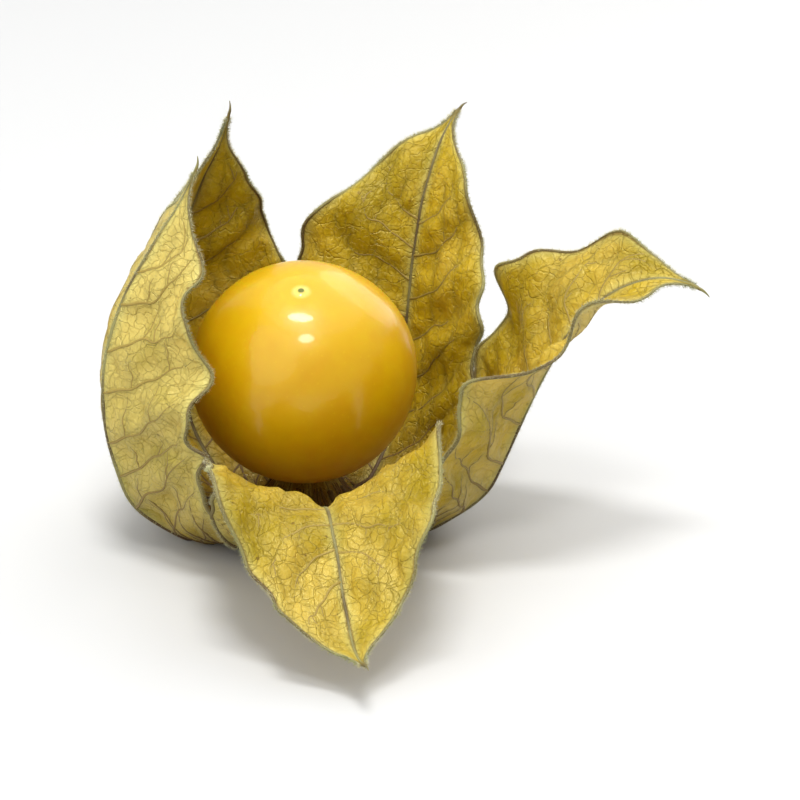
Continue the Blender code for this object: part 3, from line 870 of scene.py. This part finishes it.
# Sizes of the paper's patches, grain and creases, in metres on the husk or in millimetres on the leaf map.
WIDE_PATCH = 11 * MM
PATCH = 4.5 * MM
GRAIN = 0.32 * MM
SPECK_STEP = 1.9 * MM
SHORT_CREASE = 0.9 * MM
PAPER_RELIEF = 0.26 * MM
LEAF_TINT = 38.0
LONG_CREASE = 1.3
FIBRE = 0.22
FIBRE_STRETCH = (1.0, 0.45, 1.0)
DRIFT_SIZE = 1.6 * MM
DRIFT_REACH = (1.6, 1.6, 0.0)
WIDE_NET = 0.42
FINE_NET = 1.35

leaf_paper, start = new_finish("husk_paper")
leaf = start.node("ShaderNodeUVMap", {"uv_map": "leaf"}, {})
place = start.place()
rib, vein, arc, faded, indoors = (start.value(v) for v in ("rib", "vein", "arc", "faded", "inside"))
drift = place.cloud(DRIFT_SIZE, 2.0, 0.5, "Color")
warped = leaf.move("ADD", drift.move("MULTIPLY", DRIFT_REACH))
along_leaf = warped.move("MULTIPLY", FIBRE_STRETCH)
wide_net = warped.net(WIDE_NET).rise(0.038, 0.0)
fine_net = warped.net(FINE_NET).rise(0.065, 0.0)
wide = place.cloud(WIDE_PATCH, 2.0)
middle = place.cloud(PATCH, 3.0)
grain = place.cloud(GRAIN, 3.0, 0.7)
specks = place.cells(SPECK_STEP).rise(0.085, 0.05)
leaf_tint = leaf.cloud(LEAF_TINT, 1.0)
paper = colour(start, GOLD).blend(OLIVE, (wide * 0.6 + leaf_tint * 0.4).rise(0.44, 0.58))
pale = (wide * 0.45 + middle * 0.25 + (1.0 - faded) * 0.3).rise(0.54, 0.42)
paper = paper.blend(STRAW, pale * (0.45 + 0.5 * arc) * (1.0 - 0.45 * indoors))
fibre = along_leaf.cloud(FIBRE, 3.0, 0.65)
# Painted glow: the inner face is painted amber, most near the base, for light from the berry glowing
# through and off the husk.
paper = paper.blend(PAINTED_GLOW, indoors * (0.8 - 0.7 * arc))
stain = (arc + 0.24 * middle - 0.06 * vein - 0.05 * rib).rise(0.56, 0.20)
paper = paper.blend(UMBER, stain * (0.65 + 0.4 * grain))
paper = paper.blend(GREY_GREEN, rib * 0.6)
net = (wide_net * 0.30 + fine_net * 0.09) * (2.2 * middle - 0.55).rise(0.0, 1.0)
paper = paper.blend(VEIN_BROWN, net * (1.0 - rib * 0.6))
# Painted highlight: the fine net's threads are painted paler in patches, as crinkles catching the light.
paper = paper.blend(STRAW, fine_net * grain.rise(0.40, 0.58) * 0.30)
paper = paper.blend(VEIN_BROWN, vein * 0.4).blend(UMBER, rib.rise(0.78, 1.0) * 0.8)
paper = paper.blend(STRAW, grain.rise(0.55, 0.70) * 0.30 + fibre.rise(0.56, 0.70) * 0.28)
paper = paper.blend(UMBER, specks * 0.7)
paper = paper.blend(UMBER, arc.rise(0.93, 1.0) * 0.7)
long_crease = (along_leaf.cloud(LONG_CREASE, 2.0) - 0.5).size() * 2.2
short_crease = (place.cloud(SHORT_CREASE, 2.0) - 0.5).size() * 2.2
creases = grain * 0.30 + fibre * 0.15 - fine_net * 0.22 - wide_net * 0.2
creases = creases - long_crease * 0.5 - short_crease * 0.45
face = start.node(
    "ShaderNodeBsdfPrincipled",
    {},
    {
        "Base Color": paper,
        "Roughness": 0.30 + 0.26 * grain - 0.10 * pale + 0.16 * rib,
        "Specular IOR Level": 0.9,
        "Specular Tint": SHEEN_TINT,
        "Normal": creases.relief(PAPER_RELIEF),
    },
)
through = start.node("ShaderNodeBsdfTranslucent", {}, {"Color": GLOW})
light_share = 0.42 - 0.26 * rib - 0.12 * vein - 0.1 * wide_net - 0.32 * stain
shader = start.node("ShaderNodeMixShader", {}, {0: light_share, 1: face, 2: through})
start.node("ShaderNodeOutputMaterial", {}, {"Surface": shader})
leaf_values = list(zip(("rib", "vein", "arc", "faded"), both[:, 1:].T)) + [("inside", inside)]
husk = piece(
    "husk_leaf",
    np.concatenate([outer, inner]),
    husk_faces,
    leaf_paper,
    "husk_paper",
    leaf_values,
)
layer = husk.data.uv_layers.new(name="leaf")
layer.uv.foreach_set("vector", husk_uvs.astype(np.float32).ravel())
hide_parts("husk")

# The veins. Ribs and veins of the dried leaf, darker and harder than it, which stand out of both its
# faces: one down the middle of each lobe, one along each join and torn edge, and the side veins.
VEIN_TURNS = 6
MIDDLE_RIB = (0.34 * MM, 0.12 * MM)
JOIN_RIB = (0.30 * MM, 0.16 * MM)
EDGE_RIB = (0.18 * MM, 0.08 * MM)
RIB_START = 2.2 * MM
RIB_POINTS = 110
JOIN_POINTS = 70
THREAD_LENGTH = 0.9 * MM
THREAD_POINTS = 10
THREAD_TIP = 0.03 * MM
OFF_THE_TABLE = 0.03 * MM
STAIN_REACH = (20 * MM, 8 * MM)
VEIN_PATCH = 6 * MM
VEIN_FIBRE = 0.3 * MM
VEIN_RELIEF = 0.05 * MM
VEIN_DARK = (0.085, 0.055, 0.014, 1)
VEIN_OLIVE = (0.25, 0.23, 0.075, 1)
VEIN_UMBER = (0.085, 0.030, 0.008, 1)
VEIN_THIN = (0.31, 0.21, 0.028, 1)


def tube(line, outward, thick):
    """Points and faces of one vein: rings round its line, closed to a point at each end."""
    ahead = unit(np.gradient(line, axis=0))
    side = unit(np.cross(ahead, outward))
    up = np.cross(side, ahead)
    turns = np.linspace(0, 2 * math.pi, VEIN_TURNS, endpoint=False)
    round_points = (
        line[:, None]
        + (thick[:, None] * np.cos(turns))[..., None] * side[:, None]
        + (thick[:, None] * np.sin(turns))[..., None] * up[:, None]
    )
    first, last = line[0] - ahead[0] * thick[0], line[-1] + ahead[-1] * thick[-1]
    points = np.concatenate([round_points.reshape(-1, 3), [first, last]])
    return points, closed_faces(len(line), VEIN_TURNS)


tubes = []
for index, lobe in enumerate(LOBES):
    arcs = np.linspace(RIB_START, LOBE_LENGTH, RIB_POINTS)
    share = arcs / LOBE_LENGTH
    line, outward, length = leaf_point(index, arcs, np.zeros_like(arcs))
    s = np.linspace(0.0, 1.0, THREAD_POINTS)[1:, None]
    thread = line[-1] + length[-1] * THREAD_LENGTH * s + outward[-1] * THREAD_LENGTH * 0.35 * s**2
    line = np.concatenate([line, thread])
    outward = np.concatenate([outward, np.repeat(outward[-1:], len(thread), axis=0)])
    thick = MIDDLE_RIB[0] + (MIDDLE_RIB[1] - MIDDLE_RIB[0]) * share**0.7
    thick = np.concatenate([thick, np.linspace(MIDDLE_RIB[1], THREAD_TIP, len(thread))])
    tubes.append((line, outward, thick, 0.0))
    arcs = np.linspace(RIB_START, lobe.tear_arc, JOIN_POINTS)
    line, outward, _ = leaf_point(index, arcs, np.ones_like(arcs))
    tubes.append((line, outward, np.linspace(*JOIN_RIB, len(arcs)), 0.0))
    for side, tear in ((1.0, lobe.tear_arc), (-1.0, LOBES[index - 1].tear_arc)):
        arcs = np.linspace(tear, LOBE_LENGTH - 0.3 * MM, RIB_POINTS)
        line, outward, _ = leaf_point(index, arcs, side * np.ones_like(arcs))
        tubes.append((line, outward, np.linspace(*EDGE_RIB, len(arcs)), 0.1))
for index, arcs, across, thick in ROUTES:
    line, outward, _ = leaf_point(index, arcs, across)
    tubes.append((line, outward, thick, 1.0))
vein_points, vein_faces, vein_order, offset = [], [], [], 0
for line, outward, thick, order in tubes:
    line = line.copy()
    line[:, 2] = np.maximum(line[:, 2], thick + OFF_THE_TABLE)
    points, faces = tube(line, outward, thick)
    vein_points.append(points)
    vein_order.append(np.full(len(points), order))
    vein_faces.append(faces + offset)
    offset += len(points)

vein_finish, start = new_finish("husk_vein")
place = start.place()
wide = place.cloud(VEIN_PATCH, 2.0)
fibre = place.cloud(VEIN_FIBRE, 3.0)
from_stem = place.distance((*HUSK_AXIS, 3 * MM))
order = start.value("order")
tint = colour(start, VEIN_DARK).blend(VEIN_OLIVE, wide.rise(0.35, 0.65))
tint = tint.blend(VEIN_THIN, order * 0.85)
tint = tint.blend(VEIN_UMBER, from_stem.rise(*STAIN_REACH) * 0.8)
tint = tint.blend(VEIN_OLIVE, fibre.rise(0.55, 0.7) * 0.3)
end_finish(
    start,
    {"Base Color": tint, "Roughness": 0.55 + 0.2 * fibre, "Normal": fibre.relief(VEIN_RELIEF)},
)
piece(
    "husk_veins",
    np.concatenate(vein_points),
    np.concatenate(vein_faces),
    vein_finish,
    "husk_paper",
    (("order", np.concatenate(vein_order)),),
)

# The down. Short pale hairs that stand on the husk's ribs, on its edges, more thinly on its outer face,
# and on the stem. Each is a slim spike that grows out of the leaf or the bark.
RIB_HAIRS = 700
EDGE_HAIRS = 1700
FACE_HAIRS = 1000
STEM_HAIRS = 420
RIB_HAIR = 0.42 * MM
EDGE_HAIR = 0.40 * MM
FACE_HAIR = 0.26 * MM
STEM_HAIR = 0.30 * MM
HAIR_WIDTH = 0.018 * MM
RIB_LIFT = 0.10 * MM
FACE_LIFT = 0.04 * MM
HAIR_FLOOR = 0.05 * MM
HAIR_SPREAD = 0.02
HAIR_LEAN = 0.45
STEM_HAIR_LEAN = 0.35
ANY_SIDE = np.array([0.31, 0.52, 0.80])
DOWN_PATCH = 3 * MM
DOWN_PALE = (0.56, 0.50, 0.24, 1)
DOWN_GREEN = (0.34, 0.34, 0.12, 1)


def spikes(roots, grow, longest):
    """Slim hairs from these roots: three corners at the root, and a tip."""
    reach = longest * chance.uniform(0.45, 1.0, (len(roots), 1))
    aside = unit(np.cross(grow, ANY_SIDE))
    third = np.cross(grow, aside)
    corners = [
        roots + HAIR_WIDTH * (math.cos(turn) * aside + math.sin(turn) * third)
        for turn in np.linspace(0, 2 * math.pi, 3, endpoint=False)
    ]
    points = np.stack([*corners, roots + grow * reach], axis=1)
    points = points[points[:, :, 2].min(axis=1) > HAIR_FLOOR]
    first = np.arange(len(points))[:, None] * 4
    faces = np.concatenate([first + np.array(f) for f in ((0, 1, 3), (1, 2, 3), (2, 0, 3), (2, 1, 0))])
    return points.reshape(-1, 3), faces


def leaf_hairs(index, arcs, across, longest, lift, side=0.0):
    """Hairs on a lobe: on its outer face, or outwards round its edge on one side."""
    points, outward, length = leaf_point(index, arcs, across)
    aside = unit(np.cross(outward, length))
    n = len(arcs)
    lean = chance.normal(0.0, HAIR_LEAN, (n, 2))
    if side:
        out = -side * aside * chance.uniform(0.5, 1.2, (n, 1))
        out = out + outward * chance.uniform(-0.7, 0.9, (n, 1))
    else:
        out = outward + lean[:, 1:] * aside
    grow = unit(out + lean[:, :1] * length)
    return spikes(points + grow * lift, grow, longest)


def joined(groups):
    """Several groups of points and faces as one."""
    firsts = np.cumsum([0] + [len(points) for points, _ in groups[:-1]])
    faces = [own + first for (_, own), first in zip(groups, firsts)]
    return np.concatenate([points for points, _ in groups]), np.concatenate(faces)


leaf_down = []
for index, lobe in enumerate(LOBES):
    for reach, centre in ((LOBE_LENGTH, 0.0), (lobe.tear_arc, 1.0)):
        places = np.abs(chance.normal(0, HAIR_SPREAD, RIB_HAIRS))
        if centre == 0.0:
            places = places * np.sign(chance.normal(size=RIB_HAIRS))
        rib_arcs = chance.uniform(5 * MM, reach, RIB_HAIRS)
        leaf_down.append(leaf_hairs(index, rib_arcs, centre - places, RIB_HAIR, RIB_LIFT))
    for side, tear in ((1.0, lobe.tear_arc), (-1.0, LOBES[index - 1].tear_arc)):
        edge_arcs = chance.uniform(tear + 1.5 * MM, LOBE_LENGTH - 0.5 * MM, EDGE_HAIRS)
        places = side * (1.0 - HAIR_SPREAD * chance.random(EDGE_HAIRS))
        leaf_down.append(leaf_hairs(index, edge_arcs, places, EDGE_HAIR, RIB_LIFT, side))
    face_arcs = chance.uniform(4 * MM, 42 * MM, FACE_HAIRS)
    places = chance.uniform(-0.97, 0.97, FACE_HAIRS)
    leaf_down.append(leaf_hairs(index, face_arcs, places, FACE_HAIR, FACE_LIFT))
stem_distances = chance.uniform(1.0 * MM, STEM_LENGTH, STEM_HAIRS)
stem_roots, stem_grow = [], []
for distance, turn in zip(stem_distances, chance.uniform(0, 2 * math.pi, STEM_HAIRS)):
    centre, axis = stem_line(distance)
    out = math.cos(turn) * across_x + math.sin(turn) * np.cross(across_x, axis)
    stem_roots.append(centre + 0.97 * np.interp(distance, distances, radii) * out)
    stem_grow.append(out + chance.normal(0.0, STEM_HAIR_LEAN, 3))
stem_down = spikes(np.array(stem_roots), unit(np.array(stem_grow)), STEM_HAIR)

down_finish, start = new_finish("husk_down")
patches = start.place().cloud(DOWN_PATCH, 2.0)
tint = colour(start, DOWN_PALE).blend(DOWN_GREEN, patches.rise(0.35, 0.7))
end_finish(start, {"Base Color": tint, "Roughness": 0.45 + 0.2 * patches, "Sheen Weight": 0.3})
piece("husk_down", *joined(leaf_down), down_finish, "husk_paper")
piece("stem_down", *stem_down, down_finish, "stem_bark")

# The table. A plain pale surface under the fruit.
TABLE_SIZE = 3.0
TABLE_PALE = (0.56, 0.56, 0.555, 1)
half = TABLE_SIZE / 2
table_mesh = bpy.data.meshes.new("table_top")
table_corners = [(-half, -half, 0), (half, -half, 0), (half, half, 0), (-half, half, 0)]
table_mesh.from_pydata(table_corners, [], [(0, 1, 2, 3)])
table_top = bpy.data.objects.new("table_top", table_mesh)
bpy.context.scene.collection.objects.link(table_top)
table_finish, start = new_finish("table_white")
end_finish(start, {"Base Color": TABLE_PALE, "Roughness": 0.6})
table_mesh.materials.append(table_finish)


# The light. Two small lamps high in front, which show as the two bright spots on the berry, wide soft
# ones at the left and overhead, and one behind that shines through the husk.
def lamp(name, place, aim, size, power, tint=(1, 1, 1)):
    """A soft oval lamp."""
    data = bpy.data.lights.new(name, "AREA")
    data.shape = "ELLIPSE"
    data.size, data.size_y = size
    data.energy = power
    data.color = tint
    made = bpy.data.objects.new(name, data)
    bpy.context.scene.collection.objects.link(made)
    made.location = place
    way = unit(np.array(aim) - np.array(place))
    made.rotation_mode = "QUATERNION"
    made.rotation_quaternion = Vector(way).to_track_quat("-Z", "Y")


middle = (0.0, 0.0, 0.014)
lamp("key_lamp", (-0.02, -0.095, 0.53), middle, (0.19, 0.095), 1.6)
lamp("low_lamp", (0.025, -0.25, 0.385), middle, (0.115, 0.07), 0.55)
lamp("side_lamp", (-0.68, -0.66, 0.62), middle, (1.6, 1.2), 5.6)
lamp("top_lamp", (0.3, 0.4, 2.5), middle, (4.0, 4.0), 40.0)
lamp("back_lamp", (0.28, 0.42, 0.30), middle, (0.5, 0.5), 1.2, (1.0, 0.96, 0.9))
world = bpy.data.worlds.new("studio")
world.use_nodes = True
sky = world.node_tree.nodes["Background"]
sky.inputs["Color"].default_value = (0.95, 0.97, 1.0, 1)
sky.inputs["Strength"].default_value = 0.55
bpy.context.scene.world = world
bpy.context.scene.view_settings.view_transform = "Standard"

# The camera. Near and a little above, at the angle from which the fruit is seen.
CAMERA_HEIGHT = 19.5
CAMERA_DISTANCE = 0.232
CAMERA_AIM = (0.0, 0.0, 0.0135)
CAMERA_LENS = 135
camera_data = bpy.data.cameras.new("camera")
camera_data.lens = CAMERA_LENS
camera = bpy.data.objects.new("camera", camera_data)
bpy.context.scene.collection.objects.link(camera)
slope = math.radians(CAMERA_HEIGHT)
back = Vector((0.0, -math.cos(slope), math.sin(slope)))
camera.location = Vector(CAMERA_AIM) + back * CAMERA_DISTANCE
camera.rotation_mode = "QUATERNION"
camera.rotation_quaternion = (-back).to_track_quat("-Z", "Y")
bpy.context.scene.camera = camera
